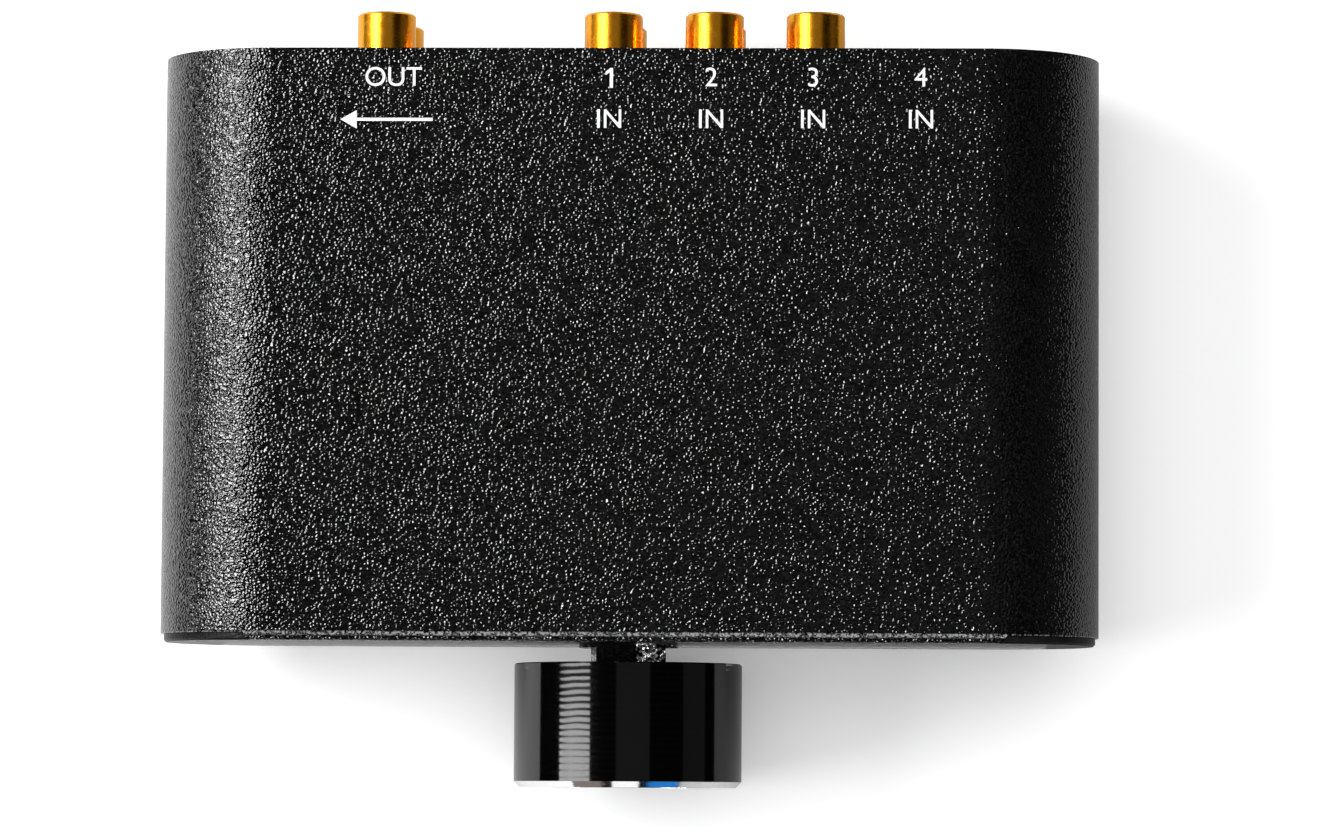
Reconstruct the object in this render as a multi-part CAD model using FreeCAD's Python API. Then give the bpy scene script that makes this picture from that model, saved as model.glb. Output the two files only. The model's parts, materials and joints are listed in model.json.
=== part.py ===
import FreeCAD, Part
import math
import os

from FreeCAD import Vector

# Passive stereo source selector in a round-sided metal case. Millimetres, +Z up.
# X runs along the case's width, +Y points to the jacks at the rear, the knob is at -Y.
# The origin is at the bottom centre of the whole object's box.

# Case
CASE_WIDTH = 133.6
CASE_HEIGHT = 33.5
CASE_DEPTH = 83.3
CASE_WALL = 1.5
SIDE_STEP = 1.15
LIP_HALF_WIDTH = 53.5
LIP_SLANT = 1.1
LIP_ROUND = 1.0
LIP_ROUND_OF_WALL = 0.8
LIP_ROUND_OF_STEP = 0.9
PORT_RADIUS = 2.6
PORT_SLOT = 1.2
PORT_ANGLE = 40.0
PORT_SUNK = 0.25

# End panels
PANEL_INSET = 0.5
PANEL_THICKNESS = 2.15
PANEL_EDGE_BREAK = 0.3
REAR_RECESS = 2.0
REAR_PANEL_THICKNESS = 1.5
CASE_SCREW_RADIUS = 1.1
CASE_SCREW_HEAD_RADIUS = 2.2
CASE_SCREW_SINK = 1.3
CASE_SCREW_HEAD_HEIGHT = 1.5
CASE_SCREW_BITE = 7.0

# Feet
FOOT_HEIGHT = 2.0
FOOT_RADIUS = 5.0
FOOT_TAPER = 0.4
FOOT_X = 44.0
FOOT_Y = 31.0

# Phono jacks
OUTPUT_X = -34.7
INPUT_1_X = -2.35
INPUT_PITCH = 14.35
JACK_ROW_PITCH = 14.0
BARREL_RADIUS = 4.15
BARREL_WALL = 0.65
BARREL_REACH = 6.0
BARREL_SEAT = 5.0
BARREL_SEAT_RADIUS = 3.9
BARREL_EDGE_BREAK = 0.3
INSULATOR_SHORT = 0.9
CONTACT_SHORT = 0.6
CONTACT_RADIUS = 2.1
CONTACT_BORE_RADIUS = 1.65
CONTACT_BORE_DEPTH = 8.5
CONTACT_PIN = 1.2
GROUND_PIN = 0.8
NOSE_RADIUS = 4.55
NOSE_PROUD = 0.5
BLOCK_WIDTH = 10.6
BLOCK_HEIGHT = 24.6
BLOCK_DEPTH = 12.5
BLOCK_CORNER = 0.8
BLOCK_POCKET_DEPTH = 1.0
BLOCK_POCKET_MARGIN = 2.4
BLOCK_SCREW_RADIUS = 1.2
BLOCK_SCREW_HEAD_RADIUS = 2.2
BLOCK_SCREW_HEAD_HEIGHT = 1.3
BLOCK_SCREW_BITE = 6.5
BLOCK_SCREW_DEPTH = 7.5

# Stereo mini jack for the fourth source
AUX_PITCH = 15.2
AUX_WIDTH = 9.6
AUX_HEIGHT = 11.0
AUX_NOSE_RADIUS = 3.0
AUX_NOSE_SHORT = 0.5
AUX_BORE_RADIUS = 1.8
AUX_BORE_DEPTH = 14.0
AUX_RING_RADIUS = 4.3
AUX_RING_THICKNESS = 1.3
AUX_PIN = 0.8
AUX_PIN_SIDE = 3.6
AUX_PIN_TOP = 4.3
AUX_PIN_SUNK = 6.0

# Circuit boards
BOARD_THICKNESS = 1.6
JACK_BOARD_LEFT = -50.0
JACK_BOARD_RIGHT = 53.6
BOARD_HALF_HEIGHT = 13.0
BOARD_CORNER = 1.5
PIN_STICK_OUT = 1.4
SWITCH_BOARD_LEFT = -32.5
SWITCH_BOARD_RIGHT = 15.0
STANDOFF_LEFT_X = -45.6
STANDOFF_RIGHT_X = 50.2
STANDOFF_FLATS = 5.0
BOARD_SCREW_RADIUS = 1.5
BOARD_SCREW_HEAD_RADIUS = 2.6
BOARD_SCREW_HEAD_HEIGHT = 1.7
BOARD_SCREW_BITE = 4.0

# Ribbon cable and its connectors
HEADER_X = -20.7
HEADER_DEPTH = 9.0
HEADER_WALL = 1.0
HEADER_FLOOR = 2.0
HEADER_ROOM = 0.37
HEADER_PIN = 0.64
HEADER_PIN_PITCH = 2.54
HEADER_PIN_COLUMNS = 6
HEADER_PIN_REACH = 7.6
SOCKET_END = 1.18
SOCKET_HEIGHT = 6.1
SOCKET_DEPTH = 8.0
SOCKET_CAP = 2.2
RIBBON_THICKNESS = 0.9
RIBBON_BEND = 8.0
RIBBON_DROP = 13.0
RIBBON_END = 3.4
RIBBON_BEND_OF_SPAN = 0.45

# Rotary switch
BUSHING_RADIUS = 3.5
SHAFT_RADIUS = 3.0
SHAFT_RUNNING_GAP = 0.03
BUSHING_REACH = 2.85
BUSHING_FLANGE = 2.5
SWITCH_RADIUS = 12.5
SWITCH_EAR_RADIUS = 3.2
SWITCH_EAR_REACH = 13.5
SWITCH_EAR_ANGLE = 45.0
SWITCH_SCREW_RADIUS = 0.95
SWITCH_SCREW_HEAD_RADIUS = 1.9
SWITCH_SCREW_HEAD_HEIGHT = 1.2
LOCK_WASHER_RADIUS = 6.2
LOCK_WASHER_THICKNESS = 0.6
LOCK_WASHER_TEETH = 12
LOCK_TOOTH = 0.9
STOP_WASHER_RADIUS = 6.8
STOP_WASHER_THICKNESS = 0.8
STOP_TAB_RADIUS = 8.0
STOP_TAB_THICKNESS = 1.0
STOP_TAB_WIDTH = 2.0
LOCATING_PIN_RADIUS = 1.2
LOCATING_PIN_PLACE = 9.5
LOCATING_PIN_ANGLE = 270.0
LOCATING_PIN_DEPTH = 1.1
INDEX_DEPTH = 6.0
STOP_LAYER = 2.1
STOP_LAYER_RADIUS = 10.2
DETENT_COUNT = 12
DETENT_TIP_RADIUS = 8.8
DETENT_VALLEY_DEPTH = 0.4
DETENT_VALLEY_ROUND = 1.7
CARRIER_HUB_RADIUS = 5.4
CARRIER_ARM_WIDTH = 4.8
CARRIER_LUG_ANGLE = 20.0
BALL_RADIUS = 1.5
SPRING_OUTER_RADIUS = 1.3
SPRING_INNER_RADIUS = 0.95
FIXED_STOP_ANGLE = 16.0
FIXED_STOP_GAP = 1.0
POSITION_COUNT = 4
POSITION_ANGLE = 30.0
CONTACT_CHAMBER_DEPTH = 3.6
CONTACT_CHAMBER_RADIUS = 11.0
CONTACT_WALL = 1.6
CONTACT_EAR_DEPTH = 2.4
ROTOR_RADIUS = 9.9
ROTOR_THICKNESS = 1.6
ROTOR_HUB_RADIUS = 4.2
ROTOR_HUB_REACH = 1.0
WIPER_THICKNESS = 0.35
WIPER_WIDTH = 2.2
WIPER_BUMP_RADIUS = 0.6
PAD_THICKNESS = 0.5
PAD_WIDTH = 2.2
PAD_INNER_RADIUS = 7.6
PAD_OUTER_RADIUS = 9.6
COMMON_INNER_RADIUS = 4.8
COMMON_OUTER_RADIUS = 6.4
TERMINAL_PIN = 0.8
SHAFT_TAIL_RADIUS = 2.6
SHAFT_TAIL_FLAT = 1.8
SHAFT_TAIL_LENGTH = 10.0
SHAFT_FRONT_REACH = 15.8
SHAFT_FLAT = 1.5
SHAFT_FLAT_LENGTH = 9.6
CLIP_THICKNESS = 0.5
CLIP_RADIUS = 4.5
CLIP_GROOVE_DEPTH = 0.4
CLIP_SLOT = 3.6

# Nut and washer in front of the panel
WASHER_RADIUS = 7.0
WASHER_THICKNESS = 0.5
NUT_FLATS = 10.0
NUT_THICKNESS = 2.2
NUT_ANGLE = 10.0
NUT_EDGE_BREAK = 0.3

# Knob
KNOB_RADIUS = 16.2
KNOB_LENGTH = 16.7
KNOB_BEVEL = 0.83
KNOB_GAP = 2.75
KNOB_WALL = 2.6
KNOB_FRONT_WALL = 2.4
KNOB_REAR_BREAK = 0.15
TRIM_RING_WIDTH = 1.6
KNOB_FACE_RECESS = 0.2
MARK_WIDTH = 1.2
MARK_INNER_RADIUS = 7.0
MARK_END_GAP = 1.2
MARK_DEPTH = 0.3
POINTER_ANGLE = -45.0
CORE_RECESS = 3.6
CORE_RIM_SET_IN = 0.4
CORE_RIM_THICKNESS = 1.25
CORE_HUB_RADIUS = 5.6
CORE_RIBS = 6
CORE_RIB_THICKNESS = 1.4
CORE_WEB = 1.3

# Clearances
PANEL_FIT = 0.1
LIP_GAP = 0.15
SEAT_GAP = 0.02
THREAD_GAP = 0.02
HOLE_GAP = 0.1
PIN_GAP = 0.04
PLUG_GAP = 0.1
TURN_GAP = 0.1
BALL_BORE_GAP = 0.03
STOP_CLEARANCE = 0.5

# Places worked out from the sizes above
CASE_RADIUS = CASE_HEIGHT / 2
MID_Z = FOOT_HEIGHT + CASE_RADIUS
SIDE_CENTRE_X = CASE_WIDTH / 2 - CASE_RADIUS
KNOB_REACH = KNOB_GAP + KNOB_LENGTH + KNOB_BEVEL
FRONT_Y = KNOB_REACH - (KNOB_REACH + CASE_DEPTH + BARREL_REACH) / 2
REAR_Y = FRONT_Y + CASE_DEPTH
CASE_MID_Y = (FRONT_Y + REAR_Y) / 2
REAR_FACE_Y = REAR_Y - REAR_RECESS
REAR_INNER_Y = REAR_FACE_Y - REAR_PANEL_THICKNESS
PANEL_INNER_Y = FRONT_Y + PANEL_THICKNESS
PORT_REACH = CASE_RADIUS - CASE_WALL - max(PORT_RADIUS - PORT_SUNK, CASE_SCREW_HEAD_RADIUS + HOLE_GAP)
PORT_X = SIDE_CENTRE_X + PORT_REACH * math.cos(math.radians(PORT_ANGLE))
PORT_Z = PORT_REACH * math.sin(math.radians(PORT_ANGLE))
BLOCK_XS = [OUTPUT_X, INPUT_1_X, INPUT_1_X + INPUT_PITCH, INPUT_1_X + 2 * INPUT_PITCH]
AUX_X = BLOCK_XS[-1] + AUX_PITCH
UPPER_Z = MID_Z + JACK_ROW_PITCH / 2
LOWER_Z = MID_Z - JACK_ROW_PITCH / 2
BARREL_TIP_Y = REAR_Y + BARREL_REACH
NOSE_Y = REAR_FACE_Y + NOSE_PROUD
BARREL_END_Y = REAR_INNER_Y - BARREL_SEAT
JACK_BOARD_Y = REAR_INNER_Y - BLOCK_DEPTH
JACK_BOARD_INNER_Y = JACK_BOARD_Y - BOARD_THICKNESS
RIBBON_WIDTH = HEADER_PIN_COLUMNS * HEADER_PIN_PITCH
SOCKET_WIDTH = RIBBON_WIDTH + 2 * SOCKET_END
HEADER_WIDTH = SOCKET_WIDTH + 2 * (HEADER_WALL + HEADER_ROOM)
HEADER_HEIGHT = SOCKET_HEIGHT + 2 * (HEADER_WALL + HEADER_ROOM)
LOCK_WASHER_Y = PANEL_INNER_Y
STOP_WASHER_Y = LOCK_WASHER_Y + LOCK_WASHER_THICKNESS
PLATE_Y = STOP_WASHER_Y + STOP_WASHER_THICKNESS
INDEX_Y = PLATE_Y + BUSHING_FLANGE
TEETH_Y = INDEX_Y + STOP_LAYER
CONTACT_Y = INDEX_Y + INDEX_DEPTH
CONTACT_FLOOR_Y = CONTACT_Y + CONTACT_CHAMBER_DEPTH
SWITCH_BOARD_Y = CONTACT_FLOOR_Y + CONTACT_WALL
SWITCH_BOARD_INNER_Y = SWITCH_BOARD_Y + BOARD_THICKNESS
KNOB_REAR_Y = FRONT_Y - KNOB_GAP
KNOB_EDGE_Y = KNOB_REAR_Y - KNOB_LENGTH
KNOB_FRONT_Y = KNOB_EDGE_Y - KNOB_BEVEL
TRIM_INNER_RADIUS = KNOB_RADIUS - TRIM_RING_WIDTH
KNOB_CAVITY_RADIUS = KNOB_RADIUS - KNOB_WALL
KNOB_CAVITY_Y = KNOB_EDGE_Y + KNOB_FRONT_WALL
TRAVEL = (POSITION_COUNT - 1) * POSITION_ANGLE
LUG_ANGLE = POINTER_ANGLE + 180
STOP_TAB_HALF_ANGLE = math.degrees(math.atan2(STOP_TAB_WIDTH / 2, STOP_TAB_RADIUS))
STOP_TAB_ANGLE = LUG_ANGLE - CARRIER_LUG_ANGLE / 2 - STOP_TAB_HALF_ANGLE - 2 * STOP_CLEARANCE
FIXED_STOP_PLACE = LUG_ANGLE + TRAVEL + (CARRIER_LUG_ANGLE + FIXED_STOP_ANGLE) / 2 + STOP_CLEARANCE
BALL_ANGLE = POINTER_ANGLE + 90
BALL_PLACE = DETENT_TIP_RADIUS - TURN_GAP - BALL_RADIUS
ALONG_Y = Vector(0, 1, 0)
SHAFT_POINT = Vector(0, 0, MID_Z)


def place(radius, angle):
    """X and Z of a point round the shaft, with the angle clockwise from the top, seen from the front."""
    turn = math.radians(angle)
    return radius * math.sin(turn), MID_Z + radius * math.cos(turn)


def turn_round_shaft(shape, angle):
    turned = shape.copy()
    turned.rotate(SHAFT_POINT, ALONG_Y, angle)
    return turned


def turn_each(shapes, angle):
    return [turn_round_shaft(shape, angle) for shape in shapes]


def disc(x, z, radius, y_from, y_to):
    return Part.makeCylinder(radius, y_to - y_from, Vector(x, y_from, z), ALONG_Y)


def tube(x, z, outer, inner, y_from, y_to):
    return disc(x, z, outer, y_from, y_to).cut(disc(x, z, inner, y_from, y_to))


def block(x_from, x_to, y_from, y_to, z_from, z_to):
    return Part.makeBox(x_to - x_from, y_to - y_from, z_to - z_from, Vector(x_from, y_from, z_from))


def square_pin(x, z, side, y_from, y_to):
    half = side / 2
    return block(x - half, x + half, y_from, y_to, z - half, z + half)


def polygon_prism(points, y_from, y_to):
    """A prism along Y over (x, z) points."""
    corners = [Vector(x, y_from, z) for x, z in points]
    wire = Part.makePolygon(corners + corners[:1])
    return Part.Face(wire).extrude(Vector(0, y_to - y_from, 0))


def plan_prism(points):
    """A prism through the whole height over (x, y) points."""
    corners = [Vector(x, y, 0) for x, y in points]
    wire = Part.makePolygon(corners + corners[:1])
    return Part.Face(wire).extrude(Vector(0, 0, MID_Z + CASE_HEIGHT))


def hexagon(x, z, flats, y_from, y_to, turn=0.0):
    corner = flats / math.sqrt(3)
    angles = [math.radians(60 * step + turn) for step in range(6)]
    points = [(x + corner * math.sin(a), z + corner * math.cos(a)) for a in angles]
    return polygon_prism(points, y_from, y_to)


def turned(x, z, profile):
    """A turned solid about a line along Y, over (radius, y) points."""
    corners = [Vector(x + radius, y, z) for radius, y in profile]
    wire = Part.makePolygon(corners + corners[:1])
    return Part.Face(wire).revolve(Vector(x, 0, z), ALONG_Y, 360)


def stadium(half_width, half_height, y_from, y_to):
    """The case's section: flat above and below, with full-round sides."""
    centre = half_width - half_height
    top = MID_Z + half_height
    low = MID_Z - half_height

    def spot(x, z):
        return Vector(x, y_from, z)

    edges = [
        Part.makeLine(spot(-centre, top), spot(centre, top)),
        Part.Arc(spot(centre, top), spot(half_width, MID_Z), spot(centre, low)).toShape(),
        Part.makeLine(spot(centre, low), spot(-centre, low)),
        Part.Arc(spot(-centre, low), spot(-half_width, MID_Z), spot(-centre, top)).toShape(),
    ]
    return Part.Face(Part.Wire(edges)).extrude(Vector(0, y_to - y_from, 0))


def case_outline(inset, y_from, y_to):
    return stadium(CASE_WIDTH / 2 - inset, CASE_RADIUS - inset, y_from, y_to)


def side_zone(side, gap):
    """The stretch beside the front lip, where the sleeve stops short of the front face."""
    seam = LIP_HALF_WIDTH + gap
    tip = seam - LIP_SLANT
    far = CASE_WIDTH
    back = FRONT_Y + SIDE_STEP
    return plan_prism([(side * seam, back), (side * tip, FRONT_Y), (side * far, FRONT_Y), (side * far, back)])


def port_places():
    return [(sx * PORT_X, MID_Z + sz * PORT_Z, sx, sz) for sx in (-1, 1) for sz in (-1, 1)]


def screw_port(x, z, side, up):
    """A screw channel of the extrusion, open towards the case's middle."""
    y_from = PANEL_INNER_Y
    y_to = REAR_INNER_Y
    centre = Vector(x, 0, z)
    slot = block(-PORT_RADIUS - PORT_SLOT, 0, y_from, y_to, -PORT_SLOT / 2, PORT_SLOT / 2)
    slot.rotate(Vector(0, 0, 0), ALONG_Y, -PORT_ANGLE if side * up > 0 else PORT_ANGLE)
    if side < 0:
        slot.rotate(Vector(0, 0, 0), ALONG_Y, 180)
    slot.translate(centre)
    return disc(x, z, PORT_RADIUS, y_from, y_to), disc(x, z, CASE_SCREW_RADIUS, y_from, y_to).fuse(slot)


def on_outline(point, inset):
    """True where a point lies on the case's section drawn in by inset."""
    along = max(-SIDE_CENTRE_X, min(SIDE_CENTRE_X, point.x))
    reach = math.hypot(point.x - along, point.z - MID_Z)
    return abs(reach - (CASE_RADIUS - inset)) < 1e-3


def front_edges(shape, inset):
    found = []
    for edge in shape.Edges:
        middle = edge.valueAt((edge.FirstParameter + edge.LastParameter) / 2)
        if abs(middle.y - FRONT_Y) < 1e-6 and on_outline(middle, inset):
            found.append(edge)
    return found


def case_sleeve():
    ring = case_outline(0, FRONT_Y, REAR_Y).cut(case_outline(CASE_WALL, FRONT_Y, REAR_Y))
    for side in (-1, 1):
        ring = ring.cut(side_zone(side, 0))
    lip = min(LIP_ROUND, CASE_WALL * LIP_ROUND_OF_WALL, SIDE_STEP * LIP_ROUND_OF_STEP)
    ring = ring.makeFillet(lip, front_edges(ring, 0))
    holes = []
    for x, z, side, up in port_places():
        port, hole = screw_port(x, z, side, up)
        ring = ring.fuse(port)
        holes.append(hole)
    return ring.cut(holes).removeSplitter()


def bushing_hole_radius():
    return BUSHING_RADIUS + HOLE_GAP


def countersink(x, z, gap):
    """The sunk head of a front panel screw, from the front face inwards."""
    y_to = FRONT_Y + CASE_SCREW_SINK
    wide = CASE_SCREW_HEAD_RADIUS + gap
    narrow = CASE_SCREW_RADIUS + gap
    return Part.makeCone(wide, narrow, y_to - FRONT_Y, Vector(x, FRONT_Y, z), ALONG_Y)


def front_panel():
    spigot = case_outline(CASE_WALL + PANEL_FIT, FRONT_Y, PANEL_INNER_Y)
    flange = case_outline(PANEL_INSET, FRONT_Y, FRONT_Y + SIDE_STEP)
    panel = spigot
    for side in (-1, 1):
        panel = panel.fuse(flange.common(side_zone(side, LIP_GAP)))
    panel = panel.removeSplitter()
    panel = panel.makeChamfer(PANEL_EDGE_BREAK, front_edges(panel, PANEL_INSET))
    cuts = [disc(0, MID_Z, bushing_hole_radius(), FRONT_Y, PANEL_INNER_Y)]
    for x, z, _, _ in port_places():
        cuts.append(countersink(x, z, HOLE_GAP))
        cuts.append(disc(x, z, CASE_SCREW_RADIUS + HOLE_GAP, FRONT_Y, PANEL_INNER_Y))
    x, z = place(LOCATING_PIN_PLACE, LOCATING_PIN_ANGLE)
    cuts.append(disc(x, z, LOCATING_PIN_RADIUS + HOLE_GAP, PANEL_INNER_Y - LOCATING_PIN_DEPTH, PANEL_INNER_Y))
    return panel.cut(cuts)


def rear_panel():
    panel = case_outline(CASE_WALL + PANEL_FIT, REAR_INNER_Y, REAR_FACE_Y)
    rounds = [(AUX_X, MID_Z, AUX_NOSE_RADIUS)]
    for x in BLOCK_XS:
        rounds += [(x, UPPER_Z, NOSE_RADIUS), (x, LOWER_Z, NOSE_RADIUS)]
        rounds.append((x, MID_Z, BLOCK_SCREW_RADIUS))
    for x in (STANDOFF_LEFT_X, STANDOFF_RIGHT_X):
        rounds.append((x, MID_Z, BOARD_SCREW_RADIUS))
    for x, z, _, _ in port_places():
        rounds.append((x, z, CASE_SCREW_RADIUS))
    holes = [disc(x, z, radius + HOLE_GAP, REAR_INNER_Y, REAR_FACE_Y) for x, z, radius in rounds]
    return panel.cut(holes)


def pan_screw(x, z, radius, head_radius, head_height, seat_y, bite, outwards):
    """A pan head screw whose head stands on seat_y, on the side that outwards (+1 or -1) gives."""
    shank = radius - THREAD_GAP
    end = seat_y - outwards * bite
    top = seat_y + outwards * head_height
    profile = [(0, end), (shank, end), (shank, seat_y), (head_radius, seat_y), (head_radius, top), (0, top)]
    return turned(x, z, profile)


def front_panel_screws():
    end = PANEL_INNER_Y + CASE_SCREW_BITE
    screws = []
    for x, z, _, _ in port_places():
        shank = disc(x, z, CASE_SCREW_RADIUS - THREAD_GAP, FRONT_Y + CASE_SCREW_SINK / 2, end)
        screws.append(countersink(x, z, -THREAD_GAP).fuse(shank).removeSplitter())
    return screws


def rear_panel_screws():
    bite = REAR_PANEL_THICKNESS + CASE_SCREW_BITE
    size = (CASE_SCREW_RADIUS, CASE_SCREW_HEAD_RADIUS, CASE_SCREW_HEAD_HEIGHT)
    return [pan_screw(x, z, *size, REAR_FACE_Y, bite, 1) for x, z, _, _ in port_places()]


def rubber_feet():
    feet = []
    for x in (-FOOT_X, FOOT_X):
        for y in (CASE_MID_Y - FOOT_Y, CASE_MID_Y + FOOT_Y):
            feet.append(Part.makeCone(FOOT_RADIUS - FOOT_TAPER, FOOT_RADIUS, FOOT_HEIGHT, Vector(x, y, 0)))
    return feet


def jack_block(x):
    half = BLOCK_WIDTH / 2
    low = MID_Z - BLOCK_HEIGHT / 2
    high = MID_Z + BLOCK_HEIGHT / 2
    body = block(x - half, x + half, JACK_BOARD_Y, REAR_INNER_Y, low, high)
    corners = [edge for edge in body.Edges if abs(edge.tangentAt(edge.FirstParameter).y) > 0.9]
    body = body.makeChamfer(BLOCK_CORNER, corners)
    margin = BLOCK_POCKET_MARGIN
    y_from = JACK_BOARD_Y + margin
    y_to = REAR_INNER_Y - margin
    for side in (-1, 1):
        wall = x + side * half
        reach = BLOCK_POCKET_DEPTH
        body = body.cut(block(wall - reach, wall + reach, y_from, y_to, low + margin, high - margin))
    cuts = [disc(x, MID_Z, BLOCK_SCREW_RADIUS, REAR_INNER_Y - BLOCK_SCREW_DEPTH, REAR_INNER_Y)]
    for z in (LOWER_Z, UPPER_Z):
        body = body.fuse(disc(x, z, NOSE_RADIUS, REAR_INNER_Y, NOSE_Y))
        cuts.append(disc(x, z, BARREL_SEAT_RADIUS + SEAT_GAP, BARREL_END_Y, NOSE_Y))
        cuts.append(square_pin(x, z, CONTACT_PIN + 2 * PIN_GAP, JACK_BOARD_Y, BARREL_END_Y))
        cuts.append(square_pin(x, ground_z(z), GROUND_PIN + 2 * PIN_GAP, JACK_BOARD_Y, BARREL_END_Y))
    return body.cut(cuts)


def ground_z(row_z):
    """The earth pin meets the rear rim of its shell on the side away from the block's screw."""
    away = 1 if row_z > MID_Z else -1
    return row_z + away * (BARREL_SEAT_RADIUS + BARREL_RADIUS - BARREL_WALL) / 2


def rca_barrel(x, z):
    tip = BARREL_TIP_Y
    inner = BARREL_RADIUS - BARREL_WALL
    edge = min(BARREL_EDGE_BREAK, BARREL_WALL / 2)
    return turned(x, z, [
        (inner, BARREL_END_Y), (BARREL_SEAT_RADIUS, BARREL_END_Y), (BARREL_SEAT_RADIUS, NOSE_Y),
        (BARREL_RADIUS, NOSE_Y), (BARREL_RADIUS, tip - edge), (BARREL_RADIUS - edge, tip), (inner, tip),
    ])


def rca_insulator(x, z):
    outer = BARREL_RADIUS - BARREL_WALL - SEAT_GAP
    face = BARREL_TIP_Y - INSULATOR_SHORT
    return tube(x, z, outer, CONTACT_RADIUS + SEAT_GAP, BARREL_END_Y, face)


def rca_contact(x, z):
    face = BARREL_TIP_Y - INSULATOR_SHORT - CONTACT_SHORT
    socket = disc(x, z, CONTACT_RADIUS, BARREL_END_Y, face)
    socket = socket.cut(disc(x, z, CONTACT_BORE_RADIUS, face - CONTACT_BORE_DEPTH, face))
    return socket.fuse(square_pin(x, z, CONTACT_PIN, JACK_BOARD_INNER_Y - PIN_STICK_OUT, BARREL_END_Y))


def rca_ground_pin(x, z):
    return square_pin(x, ground_z(z), GROUND_PIN, JACK_BOARD_INNER_Y - PIN_STICK_OUT, BARREL_END_Y)


def jack_places():
    return [(x, z) for x in BLOCK_XS for z in (LOWER_Z, UPPER_Z)]


def jack_block_screws():
    bite = REAR_PANEL_THICKNESS + BLOCK_SCREW_BITE
    size = (BLOCK_SCREW_RADIUS, BLOCK_SCREW_HEAD_RADIUS, BLOCK_SCREW_HEAD_HEIGHT)
    return [pan_screw(x, MID_Z, *size, REAR_FACE_Y, bite, 1) for x in BLOCK_XS]


def aux_pin_places():
    return [(AUX_X - AUX_PIN_SIDE, MID_Z), (AUX_X + AUX_PIN_SIDE, MID_Z), (AUX_X, MID_Z + AUX_PIN_TOP)]


def aux_jack_body():
    half = AUX_WIDTH / 2
    low = MID_Z - AUX_HEIGHT / 2
    mouth = REAR_Y - AUX_NOSE_SHORT
    body = block(AUX_X - half, AUX_X + half, JACK_BOARD_Y, REAR_INNER_Y, low, low + AUX_HEIGHT)
    body = body.fuse(disc(AUX_X, MID_Z, AUX_NOSE_RADIUS, REAR_INNER_Y, mouth))
    cuts = [disc(AUX_X, MID_Z, AUX_BORE_RADIUS, mouth - AUX_BORE_DEPTH, mouth)]
    for x, z in aux_pin_places():
        cuts.append(square_pin(x, z, AUX_PIN + 2 * PIN_GAP, JACK_BOARD_Y, JACK_BOARD_Y + AUX_PIN_SUNK))
    return body.cut(cuts)


def aux_jack_ring_nut():
    inner = AUX_NOSE_RADIUS + THREAD_GAP
    return tube(AUX_X, MID_Z, AUX_RING_RADIUS, inner, REAR_FACE_Y, REAR_FACE_Y + AUX_RING_THICKNESS)


def aux_jack_contacts():
    y_from = JACK_BOARD_INNER_Y - PIN_STICK_OUT
    return [square_pin(x, z, AUX_PIN, y_from, JACK_BOARD_Y + AUX_PIN_SUNK) for x, z in aux_pin_places()]


def board(left, right, y_from, pins, screw_xs):
    """A circuit board with a square hole for each (x, z, side) pin and a round one for each screw."""
    y_to = y_from + BOARD_THICKNESS
    plate = block(left, right, y_from, y_to, MID_Z - BOARD_HALF_HEIGHT, MID_Z + BOARD_HALF_HEIGHT)
    corners = [edge for edge in plate.Edges if abs(edge.tangentAt(edge.FirstParameter).y) > 0.9]
    plate = plate.makeFillet(BOARD_CORNER, corners)
    cuts = [square_pin(x, z, side + 2 * PIN_GAP, y_from, y_to) for x, z, side in pins]
    cuts += [disc(x, MID_Z, BOARD_SCREW_RADIUS + HOLE_GAP, y_from, y_to) for x in screw_xs]
    return plate.cut(cuts)


def jack_board():
    pins = [(x, z, CONTACT_PIN) for x, z in jack_places()]
    pins += [(x, ground_z(z), GROUND_PIN) for x, z in jack_places()]
    pins += [(x, z, AUX_PIN) for x, z in aux_pin_places()]
    pins += [(x, z, HEADER_PIN) for x, z in header_pin_places()]
    screws = (STANDOFF_LEFT_X, STANDOFF_RIGHT_X)
    return board(JACK_BOARD_LEFT, JACK_BOARD_RIGHT, JACK_BOARD_INNER_Y, pins, screws)


def board_standoffs():
    pillars = []
    for x in (STANDOFF_LEFT_X, STANDOFF_RIGHT_X):
        pillar = hexagon(x, MID_Z, STANDOFF_FLATS, JACK_BOARD_Y, REAR_INNER_Y)
        pillars.append(pillar.cut(disc(x, MID_Z, BOARD_SCREW_RADIUS, JACK_BOARD_Y, REAR_INNER_Y)))
    return pillars


def standoff_screws():
    size = (BOARD_SCREW_RADIUS, BOARD_SCREW_HEAD_RADIUS, BOARD_SCREW_HEAD_HEIGHT)
    screws = []
    for x in (STANDOFF_LEFT_X, STANDOFF_RIGHT_X):
        screws.append(pan_screw(x, MID_Z, *size, REAR_FACE_Y, REAR_PANEL_THICKNESS + BOARD_SCREW_BITE, 1))
        screws.append(pan_screw(x, MID_Z, *size, JACK_BOARD_INNER_Y, BOARD_THICKNESS + BOARD_SCREW_BITE, -1))
    return screws


def header_pin_places():
    first = HEADER_X - HEADER_PIN_PITCH * (HEADER_PIN_COLUMNS - 1) / 2
    columns = [first + HEADER_PIN_PITCH * step for step in range(HEADER_PIN_COLUMNS)]
    return [(x, MID_Z + row * HEADER_PIN_PITCH / 2) for x in columns for row in (-1, 1)]


def facing(y_from, depth, way):
    """The Y span that starts on y_from and goes the given way (+1 or -1)."""
    return (y_from, y_from + depth) if way > 0 else (y_from - depth, y_from)


def centred_block(width, height, span):
    return block(HEADER_X - width / 2, HEADER_X + width / 2, *span, MID_Z - height / 2, MID_Z + height / 2)


def pin_holes(span):
    return [square_pin(x, z, HEADER_PIN + 2 * PIN_GAP, *span) for x, z in header_pin_places()]


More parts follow.
